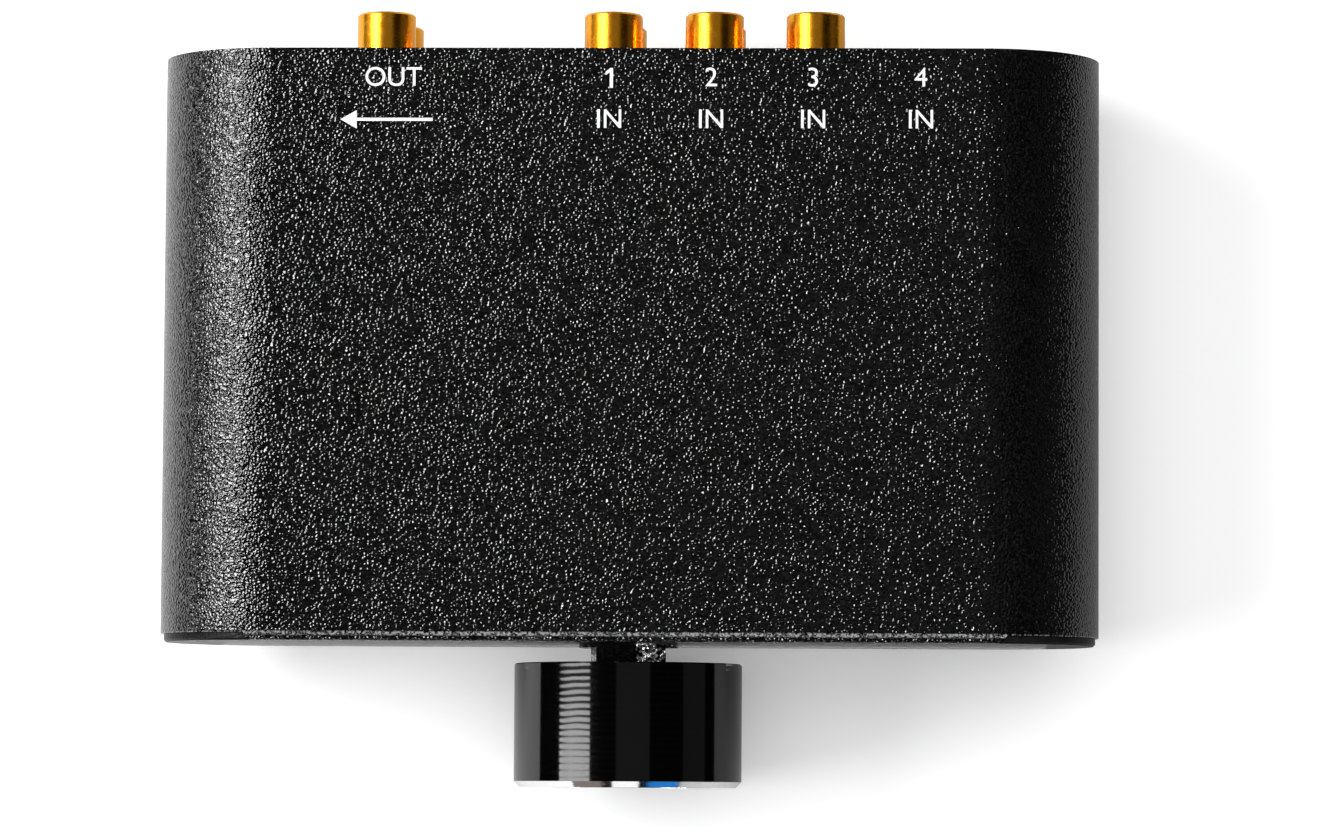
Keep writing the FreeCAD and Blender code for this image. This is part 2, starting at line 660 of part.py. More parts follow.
def header(board_y, way):
    shell = centred_block(HEADER_WIDTH, HEADER_HEIGHT, facing(board_y, HEADER_DEPTH, way))
    hollow_from = board_y + way * HEADER_FLOOR
    wall = 2 * HEADER_WALL
    hollow = centred_block(
        HEADER_WIDTH - wall, HEADER_HEIGHT - wall, facing(hollow_from, HEADER_DEPTH - HEADER_FLOOR, way)
    )
    return shell.cut([hollow] + pin_holes(facing(board_y, HEADER_FLOOR, way)))


def header_pins(board_y, way):
    back = BOARD_THICKNESS + PIN_STICK_OUT
    y_from = board_y - way * back
    span = facing(y_from, back + HEADER_PIN_REACH, way)
    return [square_pin(x, z, HEADER_PIN, *span) for x, z in header_pin_places()]


def ribbon_plane(board_y, way):
    """The face of a socket's body that the ribbon lies on."""
    return board_y + way * (HEADER_FLOOR + PLUG_GAP + SOCKET_DEPTH)


def ribbon_socket(board_y, way):
    seat = board_y + way * (HEADER_FLOOR + PLUG_GAP)
    body = centred_block(SOCKET_WIDTH, SOCKET_HEIGHT, facing(seat, SOCKET_DEPTH, way))
    reach = HEADER_PIN_REACH - HEADER_FLOOR
    body = body.cut(pin_holes(facing(seat, reach, way)))
    over = ribbon_plane(board_y, way)
    gap = RIBBON_THICKNESS + 2 * SEAT_GAP
    cap = centred_block(SOCKET_WIDTH, SOCKET_HEIGHT, facing(over, gap + SOCKET_CAP, way))
    slot = centred_block(RIBBON_WIDTH + 2 * PLUG_GAP, SOCKET_HEIGHT, facing(over, gap, way))
    return body.fuse(cap.cut(slot)).removeSplitter()


def ribbon_cable():
    """Flat cable, down from one socket, along the case's floor and up into the other."""
    front = ribbon_plane(SWITCH_BOARD_INNER_Y, 1) + SEAT_GAP + RIBBON_THICKNESS / 2
    rear = ribbon_plane(JACK_BOARD_INNER_Y, -1) - SEAT_GAP - RIBBON_THICKNESS / 2
    low = MID_Z - RIBBON_DROP
    high = MID_Z + RIBBON_END
    bend = min(RIBBON_BEND, (rear - front) * RIBBON_BEND_OF_SPAN)
    lean = bend * (1 - math.sqrt(0.5))

    def spot(y, z):
        return Vector(HEADER_X - RIBBON_WIDTH / 2, y, z)

    path = [
        Part.makeLine(spot(front, high), spot(front, low + bend)),
        Part.Arc(spot(front, low + bend), spot(front + lean, low + lean), spot(front + bend, low)).toShape(),
        Part.makeLine(spot(front + bend, low), spot(rear - bend, low)),
        Part.Arc(spot(rear - bend, low), spot(rear - lean, low + lean), spot(rear, low + bend)).toShape(),
        Part.makeLine(spot(rear, low + bend), spot(rear, high)),
    ]
    half = RIBBON_THICKNESS / 2
    solid = None
    for edge in path:
        start = edge.valueAt(edge.FirstParameter)
        along = edge.tangentAt(edge.FirstParameter)
        across = along.cross(Vector(1, 0, 0)).normalize()
        wide = Vector(RIBBON_WIDTH, 0, 0)
        low_side = start - across * half
        high_side = start + across * half
        corners = [low_side, high_side, high_side + wide, low_side + wide]
        strip = Part.Wire([edge]).makePipeShell([Part.makePolygon(corners + corners[:1])], True, False)
        solid = strip if solid is None else solid.fuse(strip)
    return solid.removeSplitter()


def switch_ears(y_from, y_to, hole_radius):
    """Two clamp ears with screw holes, one on each side of the round body."""
    radius = SWITCH_EAR_RADIUS
    reach = SWITCH_EAR_REACH
    ears = block(-radius, radius, y_from, y_to, MID_Z - reach, MID_Z + reach)
    for way in (-1, 1):
        ears = ears.fuse(disc(0, MID_Z + way * reach, radius, y_from, y_to))
    holes = [disc(0, MID_Z + way * reach, hole_radius, y_from, y_to) for way in (-1, 1)]
    return turn_round_shaft(ears, SWITCH_EAR_ANGLE), turn_each(holes, SWITCH_EAR_ANGLE)


def switch_screw_places():
    return [place(SWITCH_EAR_REACH, SWITCH_EAR_ANGLE + way) for way in (0, 180)]


def stop_tab(gap, y_from, y_to):
    half_width = STOP_TAB_WIDTH / 2 + gap
    half_thickness = STOP_TAB_THICKNESS / 2 + gap
    middle = MID_Z + STOP_TAB_RADIUS
    tab = block(-half_width, half_width, y_from, y_to, middle - half_thickness, middle + half_thickness)
    return turn_round_shaft(tab, STOP_TAB_ANGLE)


def switch_bushing_plate():
    ears, holes = switch_ears(PLATE_Y, INDEX_Y, SWITCH_SCREW_RADIUS)
    plate = disc(0, MID_Z, SWITCH_RADIUS, PLATE_Y, INDEX_Y).fuse(ears)
    plate = plate.fuse(disc(0, MID_Z, BUSHING_RADIUS, FRONT_Y - BUSHING_REACH, PLATE_Y))
    x, z = place(LOCATING_PIN_PLACE, LOCATING_PIN_ANGLE)
    pin_end = PANEL_INNER_Y - LOCATING_PIN_DEPTH + HOLE_GAP
    plate = plate.fuse(disc(x, z, LOCATING_PIN_RADIUS, pin_end, PLATE_Y))
    bore = disc(0, MID_Z, SHAFT_RADIUS + SHAFT_RUNNING_GAP, FRONT_Y - BUSHING_REACH, INDEX_Y)
    return plate.cut(holes + [bore, stop_tab(HOLE_GAP, PLATE_Y, INDEX_Y)]).removeSplitter()


def stop_washer():
    ring = disc(0, MID_Z, STOP_WASHER_RADIUS, STOP_WASHER_Y, PLATE_Y)
    half = STOP_TAB_WIDTH / 2
    outer = MID_Z + STOP_TAB_RADIUS + STOP_TAB_THICKNESS / 2
    arm = turn_round_shaft(block(-half, half, STOP_WASHER_Y, PLATE_Y, MID_Z, outer), STOP_TAB_ANGLE)
    tab = stop_tab(0, STOP_WASHER_Y, INDEX_Y + STOP_LAYER - TURN_GAP)
    hole = disc(0, MID_Z, BUSHING_RADIUS + THREAD_GAP, STOP_WASHER_Y, PLATE_Y)
    return ring.fuse([arm, tab]).cut(hole).removeSplitter()


def lock_washer():
    points = []
    for step in range(2 * LOCK_WASHER_TEETH):
        radius = LOCK_WASHER_RADIUS - (LOCK_TOOTH if step % 2 else 0)
        angle = 180 * step / LOCK_WASHER_TEETH
        points.append(place(radius, angle))
    hole = disc(0, MID_Z, BUSHING_RADIUS + THREAD_GAP, LOCK_WASHER_Y, STOP_WASHER_Y)
    return polygon_prism(points, LOCK_WASHER_Y, STOP_WASHER_Y).cut(hole)


def panel_washer():
    return tube(0, MID_Z, WASHER_RADIUS, BUSHING_RADIUS + THREAD_GAP, FRONT_Y - WASHER_THICKNESS, FRONT_Y)


def bushing_nut():
    """A hexagon nut whose front corners are turned down to a cone."""
    rear = FRONT_Y - WASHER_THICKNESS
    front = rear - NUT_THICKNESS
    corner = NUT_FLATS / math.sqrt(3)
    rim = NUT_FLATS / 2
    shoulder = front + NUT_EDGE_BREAK
    cone = turned(0, MID_Z, [(0, front), (rim, front), (corner, shoulder), (corner, rear), (0, rear)])
    hex_body = hexagon(0, MID_Z, NUT_FLATS, front, rear, NUT_ANGLE)
    return hex_body.common(cone).cut(disc(0, MID_Z, BUSHING_RADIUS + THREAD_GAP, front, rear))


def ring_sector(inner, outer, angle, width, y_from, y_to):
    """Part of a ring round the shaft, centred on the angle. The width is under 180 degrees."""
    wedge = [(0, MID_Z)] + [place(2 * outer, angle + lean) for lean in (-width / 2, 0, width / 2)]
    return tube(0, MID_Z, outer, inner, y_from, y_to).common(polygon_prism(wedge, y_from, y_to))


def index_housing():
    """Clamp ring with the detent teeth behind and the stop space in front."""
    ears, holes = switch_ears(INDEX_Y, CONTACT_Y, SWITCH_SCREW_RADIUS + HOLE_GAP)
    body = disc(0, MID_Z, SWITCH_RADIUS, INDEX_Y, CONTACT_Y).fuse(ears)
    cuts = [disc(0, MID_Z, STOP_LAYER_RADIUS, INDEX_Y, TEETH_Y)]
    cavity = disc(0, MID_Z, DETENT_TIP_RADIUS, TEETH_Y, CONTACT_Y)
    valley_place = DETENT_TIP_RADIUS + DETENT_VALLEY_DEPTH - DETENT_VALLEY_ROUND
    for step in range(DETENT_COUNT):
        x, z = place(valley_place, BALL_ANGLE + step * 360 / DETENT_COUNT)
        cavity = cavity.fuse(disc(x, z, DETENT_VALLEY_ROUND, TEETH_Y, CONTACT_Y))
    body = body.cut(cuts + [cavity] + holes)
    inner = CARRIER_HUB_RADIUS + FIXED_STOP_GAP
    stop = ring_sector(inner, STOP_LAYER_RADIUS, FIXED_STOP_PLACE, FIXED_STOP_ANGLE, INDEX_Y, TEETH_Y)
    return body.fuse(stop).removeSplitter()


def shaft_tail(gap, y_from, y_to):
    """The shaft's rear length, with two flats that drive the moulded parts."""
    radius = SHAFT_TAIL_RADIUS + gap
    half = SHAFT_TAIL_FLAT + gap
    keep = block(-half, half, y_from, y_to, MID_Z - radius, MID_Z + radius)
    return turn_round_shaft(disc(0, MID_Z, radius, y_from, y_to).common(keep), POINTER_ANGLE)


def shaft_front(gap, y_from, y_to):
    """The shaft's front length, with the one flat that drives the knob."""
    radius = SHAFT_RADIUS + gap
    body = disc(0, MID_Z, radius, y_from, y_to)
    keep = block(-radius, radius, y_from, y_to, MID_Z - radius, MID_Z + SHAFT_FLAT + gap)
    return turn_round_shaft(body.common(keep), POINTER_ANGLE + 180)


def selector_shaft():
    shoulder = INDEX_Y + TURN_GAP
    front = FRONT_Y - SHAFT_FRONT_REACH
    flat_end = front + SHAFT_FLAT_LENGTH
    shaft = shaft_front(0, front, flat_end).fuse(disc(0, MID_Z, SHAFT_RADIUS, flat_end, shoulder))
    shaft = shaft.fuse(shaft_tail(0, shoulder, shoulder + SHAFT_TAIL_LENGTH))
    groove_from, groove_to = clip_span()
    floor = SHAFT_RADIUS - CLIP_GROOVE_DEPTH
    groove = tube(0, MID_Z, CLIP_RADIUS, floor, groove_from - SEAT_GAP, groove_to + SEAT_GAP)
    return shaft.cut(groove).removeSplitter()


def clip_span():
    rear = FRONT_Y - BUSHING_REACH - TURN_GAP
    return rear - CLIP_THICKNESS, rear


def shaft_clip():
    front, rear = clip_span()
    inner = SHAFT_RADIUS - CLIP_GROOVE_DEPTH + SEAT_GAP
    ring = tube(0, MID_Z, CLIP_RADIUS, inner, front, rear)
    return ring.cut(block(-CLIP_SLOT / 2, CLIP_SLOT / 2, front, rear, MID_Z - CLIP_RADIUS, MID_Z))


def ball_axis(way):
    x, z = place(way, BALL_ANGLE)
    return Vector(x, 0, z - MID_Z)


def ball_layer_y():
    return (TEETH_Y + CONTACT_Y) / 2


def spring_inner_end():
    return CARRIER_HUB_RADIUS - BALL_RADIUS


def detent_carrier():
    """Moulded hub with an arm to each side, bored for a spring and a ball, and a stop lug in front."""
    front = INDEX_Y + TURN_GAP
    rear = CONTACT_Y - TURN_GAP
    arm_reach = DETENT_TIP_RADIUS - 4 * TURN_GAP
    hub = disc(0, MID_Z, CARRIER_HUB_RADIUS, front, rear)
    half = CARRIER_ARM_WIDTH / 2
    arm = block(-half, half, TEETH_Y + TURN_GAP, rear, MID_Z - arm_reach, MID_Z + arm_reach)
    arm = arm.common(disc(0, MID_Z, arm_reach, TEETH_Y, rear))
    hub = hub.fuse(turn_round_shaft(arm, BALL_ANGLE))
    lug_reach = STOP_LAYER_RADIUS - TURN_GAP
    lug = ring_sector(SHAFT_RADIUS, lug_reach, LUG_ANGLE, CARRIER_LUG_ANGLE, front, TEETH_Y - TURN_GAP)
    hub = hub.fuse(lug)
    cuts = [shaft_tail(SEAT_GAP, front, rear)]
    for way in (-1, 1):
        start = Vector(0, ball_layer_y(), MID_Z) + ball_axis(way) * spring_inner_end()
        cuts.append(Part.makeCylinder(BALL_RADIUS + BALL_BORE_GAP, arm_reach, start, ball_axis(way)))
    return hub.cut(cuts).removeSplitter()


def detent_springs():
    springs = []
    length = BALL_PLACE - BALL_RADIUS - spring_inner_end()
    for way in (-1, 1):
        start = Vector(0, ball_layer_y(), MID_Z) + ball_axis(way) * spring_inner_end()
        outer = Part.makeCylinder(SPRING_OUTER_RADIUS, length, start, ball_axis(way))
        springs.append(outer.cut(Part.makeCylinder(SPRING_INNER_RADIUS, length, start, ball_axis(way))))
    return springs


def detent_balls():
    middle = Vector(0, ball_layer_y(), MID_Z)
    return [Part.makeSphere(BALL_RADIUS, middle + ball_axis(way) * BALL_PLACE) for way in (-1, 1)]


def contact_places():
    """(radius, angle) of each outer pad, for both poles, and of each pole's common."""
    outer = (PAD_INNER_RADIUS + PAD_OUTER_RADIUS) / 2
    common = (COMMON_INNER_RADIUS + COMMON_OUTER_RADIUS) / 2
    pads = []
    for pole in (POINTER_ANGLE, POINTER_ANGLE + 180):
        pads += [(outer, pole + step * POSITION_ANGLE) for step in range(POSITION_COUNT)]
    return pads, [(common, POINTER_ANGLE + TRAVEL / 2), (common, POINTER_ANGLE + 180 + TRAVEL / 2)]


def terminal_places():
    pads, commons = contact_places()
    return [(*place(radius, angle), TERMINAL_PIN) for radius, angle in pads + commons]


def contact_housing():
    """Rear cup of the switch, which holds the fixed contacts."""
    ears, holes = switch_ears(CONTACT_Y, CONTACT_Y + CONTACT_EAR_DEPTH, SWITCH_SCREW_RADIUS + HOLE_GAP)
    cup = disc(0, MID_Z, SWITCH_RADIUS, CONTACT_Y, SWITCH_BOARD_Y).fuse(ears)
    cuts = [disc(0, MID_Z, CONTACT_CHAMBER_RADIUS, CONTACT_Y, CONTACT_FLOOR_Y)]
    cuts.append(disc(0, MID_Z, SHAFT_TAIL_RADIUS + HOLE_GAP, CONTACT_FLOOR_Y, SWITCH_BOARD_Y))
    for x, z, side in terminal_places():
        cuts.append(square_pin(x, z, side + 2 * PIN_GAP, CONTACT_FLOOR_Y, SWITCH_BOARD_Y))
    for x, z in switch_screw_places():
        head = SWITCH_SCREW_HEAD_RADIUS + HOLE_GAP
        cuts.append(disc(x, z, head, CONTACT_Y + CONTACT_EAR_DEPTH, SWITCH_BOARD_Y))
    return cup.cut(cuts + holes).removeSplitter()


def pad(radius_from, radius_to, angle):
    y_from = CONTACT_FLOOR_Y - PAD_THICKNESS
    half = PAD_WIDTH / 2
    plate = block(-half, half, y_from, CONTACT_FLOOR_Y, MID_Z + radius_from, MID_Z + radius_to)
    return turn_round_shaft(plate, angle)


def fixed_contacts():
    pads, commons = contact_places()
    end = SWITCH_BOARD_INNER_Y + PIN_STICK_OUT
    sector = TRAVEL + CARRIER_LUG_ANGLE / 2
    solids = []
    for radius, angle in pads:
        x, z = place(radius, angle)
        pin = square_pin(x, z, TERMINAL_PIN, CONTACT_FLOOR_Y, end)
        solids.append(pad(PAD_INNER_RADIUS, PAD_OUTER_RADIUS, angle).fuse(pin))
    for radius, angle in commons:
        x, z = place(radius, angle)
        pin = square_pin(x, z, TERMINAL_PIN, CONTACT_FLOOR_Y, end)
        y_from = CONTACT_FLOOR_Y - PAD_THICKNESS
        arc = ring_sector(COMMON_INNER_RADIUS, COMMON_OUTER_RADIUS, angle, sector, y_from, CONTACT_FLOOR_Y)
        solids.append(arc.fuse(pin))
    return solids


def rotor_rear_y():
    return CONTACT_Y + 3 * TURN_GAP + ROTOR_THICKNESS


def contact_rotor():
    front = CONTACT_Y + 3 * TURN_GAP
    rear = rotor_rear_y()
    rotor = disc(0, MID_Z, ROTOR_RADIUS, front, rear)
    rotor = rotor.fuse(disc(0, MID_Z, ROTOR_HUB_RADIUS, rear, rear + ROTOR_HUB_REACH))
    return rotor.cut(shaft_tail(SEAT_GAP, front, rear + ROTOR_HUB_REACH)).removeSplitter()


def wiper_contacts():
    """Two sprung bridges, each with a bump over its common and one over its outer pad."""
    rear = rotor_rear_y()
    tip = CONTACT_FLOOR_Y - PAD_THICKNESS - TURN_GAP
    half = WIPER_WIDTH / 2
    pads, commons = contact_places()
    bridges = []
    for angle in (POINTER_ANGLE, POINTER_ANGLE + 180):
        low = MID_Z + ROTOR_HUB_RADIUS + TURN_GAP
        strip = block(-half, half, rear, rear + WIPER_THICKNESS, low, MID_Z + PAD_OUTER_RADIUS)
        for radius in (commons[0][0], pads[0][0]):
            strip = strip.fuse(disc(0, MID_Z + radius, WIPER_BUMP_RADIUS, rear, tip))
        bridges.append(turn_round_shaft(strip.removeSplitter(), angle))
    return bridges


def switch_board():
    pins = terminal_places()
    pins += [(x, z, HEADER_PIN) for x, z in header_pin_places()]
    return board(SWITCH_BOARD_LEFT, SWITCH_BOARD_RIGHT, SWITCH_BOARD_Y, pins, ())


def switch_screws():
    seat = CONTACT_Y + CONTACT_EAR_DEPTH
    bite = seat - PLATE_Y
    size = (SWITCH_SCREW_RADIUS, SWITCH_SCREW_HEAD_RADIUS, SWITCH_SCREW_HEAD_HEIGHT)
    return [pan_screw(x, z, *size, seat, bite, 1) for x, z in switch_screw_places()]


def knob_body():
    """Turned aluminium cup with a marked face set a little behind its trim ring."""
    face = KNOB_FRONT_Y + KNOB_FACE_RECESS
    spigot = TRIM_INNER_RADIUS - SEAT_GAP
    bevel = KNOB_REAR_BREAK
    body = turned(0, MID_Z, [
        (0, face), (spigot, face), (spigot, KNOB_EDGE_Y), (KNOB_RADIUS, KNOB_EDGE_Y),
        (KNOB_RADIUS, KNOB_REAR_Y - bevel), (KNOB_RADIUS - bevel, KNOB_REAR_Y),
        (KNOB_CAVITY_RADIUS, KNOB_REAR_Y), (KNOB_CAVITY_RADIUS, KNOB_CAVITY_Y), (0, KNOB_CAVITY_Y),
    ])
    half = MARK_WIDTH / 2
    outer = TRIM_INNER_RADIUS - MARK_END_GAP
    mark = block(-half, half, face, face + MARK_DEPTH, MID_Z + MARK_INNER_RADIUS, MID_Z + outer)
    return body.cut(turn_round_shaft(mark, POINTER_ANGLE))


def knob_trim_ring():
    return turned(0, MID_Z, [
        (TRIM_INNER_RADIUS, KNOB_EDGE_Y), (KNOB_RADIUS, KNOB_EDGE_Y),
        (KNOB_RADIUS - KNOB_BEVEL, KNOB_FRONT_Y), (TRIM_INNER_RADIUS, KNOB_FRONT_Y),
    ])


def knob_core():
    """Moulded hub, ribs, rim and web that carry the aluminium cup on the shaft."""
    front = KNOB_CAVITY_Y
    rear = KNOB_REAR_Y - CORE_RECESS
    outer = KNOB_CAVITY_RADIUS - SEAT_GAP
    rim = tube(0, MID_Z, outer, outer - CORE_RIM_THICKNESS, front, KNOB_REAR_Y - CORE_RIM_SET_IN)
    web = disc(0, MID_Z, outer, front, front + CORE_WEB)
    hub = disc(0, MID_Z, CORE_HUB_RADIUS, front, rear)
    core = rim.fuse([web, hub])
    half = CORE_RIB_THICKNESS / 2
    reach = outer - CORE_RIM_THICKNESS / 2
    for step in range(CORE_RIBS):
        rib = block(-half, half, front, rear, MID_Z, MID_Z + reach)
        core = core.fuse(turn_round_shaft(rib, POINTER_ANGLE + (step + 0.5) * 360 / CORE_RIBS))
    shaft_end = FRONT_Y - SHAFT_FRONT_REACH
    return core.cut(shaft_front(SEAT_GAP, shaft_end - SEAT_GAP, rear)).removeSplitter()


def save(name, shapes):
    solids = shapes if isinstance(shapes, list) else [shapes]
    shape = solids[0] if len(solids) == 1 else Part.makeCompound(solids)
    shape.exportStep("parts/" + name + ".step")
    print(name, "solids", len(shape.Solids), "valid", shape.isValid())


def build_case():
    save("case_sleeve", case_sleeve())
    save("front_panel", front_panel())
    save("rear_panel", rear_panel())
    save("front_panel_screws", front_panel_screws())
    save("rear_panel_screws", rear_panel_screws())
    save("rubber_feet", rubber_feet())


def build_jacks():
    names = ["output_jack_block", "input_jack_block_1", "input_jack_block_2", "input_jack_block_3"]
    for name, x in zip(names, BLOCK_XS):
        save(name, jack_block(x))
    for row, z in (("upper", UPPER_Z), ("lower", LOWER_Z)):
        save("rca_barrels_" + row, [rca_barrel(x, z) for x in BLOCK_XS])
        save("rca_insulators_" + row, [rca_insulator(x, z) for x in BLOCK_XS])
    save("rca_contacts", [rca_contact(x, z) for x, z in jack_places()])
    save("rca_ground_pins", [rca_ground_pin(x, z) for x, z in jack_places()])
    save("jack_block_screws", jack_block_screws())
    save("aux_jack_body", aux_jack_body())
    save("aux_jack_ring_nut", aux_jack_ring_nut())
    save("aux_jack_contacts", aux_jack_contacts())


def build_boards():
    save("jack_board", jack_board())
    save("board_standoffs", board_standoffs())
    save("standoff_screws", standoff_screws())
    save("jack_board_header", header(JACK_BOARD_INNER_Y, -1))
    save("jack_board_header_pins", header_pins(JACK_BOARD_INNER_Y, -1))
    save("ribbon_socket_rear", ribbon_socket(JACK_BOARD_INNER_Y, -1))
    save("ribbon_cable", ribbon_cable())
    save("ribbon_socket_front", ribbon_socket(SWITCH_BOARD_INNER_Y, 1))
    save("switch_board_header", header(SWITCH_BOARD_INNER_Y, 1))
    save("switch_board_header_pins", header_pins(SWITCH_BOARD_INNER_Y, 1))
    save("switch_board", switch_board())


def build_switch():
    save("switch_bushing_plate", switch_bushing_plate())
    save("stop_washer", stop_washer())
    save("lock_washer", lock_washer())
    save("panel_washer", panel_washer())
    save("bushing_nut", bushing_nut())
    save("index_housing", index_housing())
    save("contact_housing", contact_housing())
    save("fixed_contacts", fixed_contacts())
    save("switch_screws", switch_screws())


def build_selector():
    save("selector_shaft", selector_shaft())
    save("shaft_clip", shaft_clip())
    save("detent_carrier", detent_carrier())
    save("detent_springs", detent_springs())
    save("detent_balls", detent_balls())
    save("contact_rotor", contact_rotor())
    save("wiper_contacts", wiper_contacts())
    save("knob_body", knob_body())
    save("knob_core", knob_core())
    save("knob_trim_ring", knob_trim_ring())


os.makedirs("parts", exist_ok=True)
build_case()
build_jacks()
build_boards()
build_switch()
build_selector()
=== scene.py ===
import json
import math

import bpy
from mathutils import Matrix, Vector


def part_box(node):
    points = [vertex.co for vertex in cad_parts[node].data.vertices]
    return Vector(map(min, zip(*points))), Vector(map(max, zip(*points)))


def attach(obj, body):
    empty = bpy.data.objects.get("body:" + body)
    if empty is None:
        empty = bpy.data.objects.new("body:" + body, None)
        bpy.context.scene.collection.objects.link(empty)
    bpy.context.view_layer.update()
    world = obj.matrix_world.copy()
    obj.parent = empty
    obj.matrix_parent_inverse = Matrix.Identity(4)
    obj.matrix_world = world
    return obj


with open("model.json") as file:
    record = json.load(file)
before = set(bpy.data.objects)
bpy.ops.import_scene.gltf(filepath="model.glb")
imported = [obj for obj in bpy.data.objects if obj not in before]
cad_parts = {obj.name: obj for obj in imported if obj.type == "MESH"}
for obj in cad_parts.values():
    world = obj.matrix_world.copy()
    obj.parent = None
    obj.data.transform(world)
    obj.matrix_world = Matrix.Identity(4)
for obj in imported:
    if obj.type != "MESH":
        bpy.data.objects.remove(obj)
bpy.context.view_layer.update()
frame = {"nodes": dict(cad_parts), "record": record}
NODES = frame["nodes"]
MM = 0.001

# The photograph's camera, fitted to the jacks, the knob and the case's outline. The roll is in
# degrees.
PHOTO_WIDTH = 1334
SENSOR_WIDTH = 36.0
FOCAL_PIXELS = 5441
CAMERA_PLACE = Vector((32.1, -55.7, 793.3)) * MM
CAMERA_AIM = Vector((5.3, -2.4, 18.75)) * MM
CAMERA_ROLL = 0.35

# Print on the case's top, in mm. Rows are measured from the rear edge, columns from the middle.
LABEL_HEIGHT = 2.8
NUMERAL_ROW = 4.25
WORD_ROW = 10.15
INPUT_COLUMNS = (-2.5, 11.8, 26.1, 41.2)
OUTPUT_COLUMN = -32.9
ARROW_COLUMN = -33.8
PRINT_LIFT = 0.02
NUMERAL_ONE = [(0.5, -1.4), (0.5, 1.4), (0.12, 1.4), (-0.55, 0.85), (-0.55, 0.4), (0.05, 0.8),
               (0.05, -1.4)]
ARROW = [(-6.5, 0), (-4.2, 1.3), (-4.2, 0.22), (6.5, 0.22), (6.5, -0.22), (-4.2, -0.22),
         (-4.2, -1.3)]
# The height of a capital as a share of Blender's font size
CAPITAL_SHARE = 0.729

# Screw heads' cross recesses and the knob's pointer, in mm and degrees
CROSS_REACH = 1.25
CROSS_WIDTH = 0.5
CROSS_TURN = 17
POINTER_SINK = 0.25
POINTER_TURN = 45
POINTER = [(-0.5, 7.3), (-0.3, 7.1), (0.3, 7.1), (0.5, 7.3), (0.5, 13.1), (0.3, 13.3),
           (-0.3, 13.3), (-0.5, 13.1)]
# Nodes with screws that show on a panel: -1 where the heads face the front, 1 the rear
SCREW_NODES = (("front_panel_screws", -1), ("rear_panel_screws", 1), ("jack_block_screws", 1),
               ("standoff_screws", 1))
# A screw that ends deeper than this behind the rear panel's face is inside the case
SHOWN_DEPTH = 2 * MM

# The coat's waves: their width in m, and how far they lean the normal on the case and the panels
PEBBLE = 0.00034
PEBBLE_LEAN = 2.0
PANEL_LEAN = 0.8

# The case's rolled front edge: its depth, the lean of its normals and the brightness of the painted
# highlight along it
EDGE_DEPTH = 2 * MM
EDGE_SWELL = 1.2
EDGE_GLINT = 0.3

# Turning rings on the knob and cores of the ribbon cable, in m
RING_PITCH = 0.00095
CORE_PITCH = 0.00254

# The bushing nut's flank with a painted highlight: where it starts, and its crinkles
NUT_GLINT_FROM = 0.0013
NUT_CRINKLE = 0.0006
NUT_LEAN = 4
NUT_BIAS = (-0.9, 0, 0.05)

# The table: half its length, its reflected albedo to the left and to the right of the object, lower
# on the right as painted shade, and what the camera sees of it. Only a disc of it looks lit in
# reflections.
FLOOR_HALF = 3.0
FLOOR_LEFT = 0.8
FLOOR_RIGHT_SHADED = 0.4
FLOOR_SHADE_HALF = 0.06
FLOOR_SEEN = 0.95
FLOOR_GLOW = 0.17
FLOOR_BEYOND = 0.004
LIT_RADIUS = 0.19
LIT_FADE = 1.15
LIT_SHIFT = 0.03

# The world's grey, as the camera sees it and as it lights the object, and the lights' aim
BACKGROUND = 0.9
SURROUNDINGS = 0.008
LIGHT_AIM = Vector((0, 0, 0.02))

# How far the coloured wedges in front of the knob reach, and the cards' height over the table
WEDGE_END = 0.8
WEDGE_LIFT = 0.0005
LIP_GLOW_LIFT = 0.0003
# How far a rippled card's brightness swings, as a share of it
RIPPLE_DEPTH = 0.7


def grey(value):
    return (value,) * 3


BLACK = grey(0)
WHITE = grey(1)

# Metals and mouldings by material slot: the darkest and lightest tone, and where they differ from
# the usual, the range of roughness, the grain's scale per metre and the height of its relief
METALS = {
    "screw_black": ((0.05, 0.05, 0.055), (0.09, 0.09, 0.095), (0.25, 0.4), 1500),
    "gold_plate": ((0.9, 0.36, 0.015), (1.0, 0.43, 0.025), (0.2, 0.32), 700),
    "tinned_pin": ((0.6, 0.6, 0.58), (0.75, 0.75, 0.73), (0.25, 0.4)),
    "ring_nut_metal": ((0.55, 0.56, 0.58), (0.7, 0.7, 0.72), (0.15, 0.3)),
    "plated_steel": ((0.5, 0.51, 0.53), (0.65, 0.66, 0.68), (0.2, 0.35)),
    "cast_zinc": ((0.35, 0.35, 0.37), (0.5, 0.5, 0.52), (0.35, 0.5), 600),
    "silver_contact": ((0.75, 0.74, 0.7), (0.88, 0.87, 0.83), (0.15, 0.3)),
    "spring_steel": ((0.5, 0.5, 0.52), (0.65, 0.65, 0.67), (0.1, 0.2)),
    "trim_bright": ((0.86, 0.87, 0.88), (0.93, 0.94, 0.95), (0.05, 0.1), 1500, 0.000004),
}
MOULDINGS = {
    "foot_rubber": (grey(0.012), grey(0.02), (0.7, 0.85), 900, 0.00006),
    "moulding_black": (grey(0.008), grey(0.014)),
    "insulator_white": ((0.72, 0.71, 0.68), (0.8, 0.79, 0.76)),
    "insulator_red": ((0.5, 0.02, 0.015), (0.6, 0.03, 0.02)),
    "board_green": ((0.008, 0.09, 0.035), (0.012, 0.13, 0.05), (0.2, 0.35), 300),
    "moulding_brown": ((0.1, 0.045, 0.02), (0.16, 0.075, 0.035)),
}


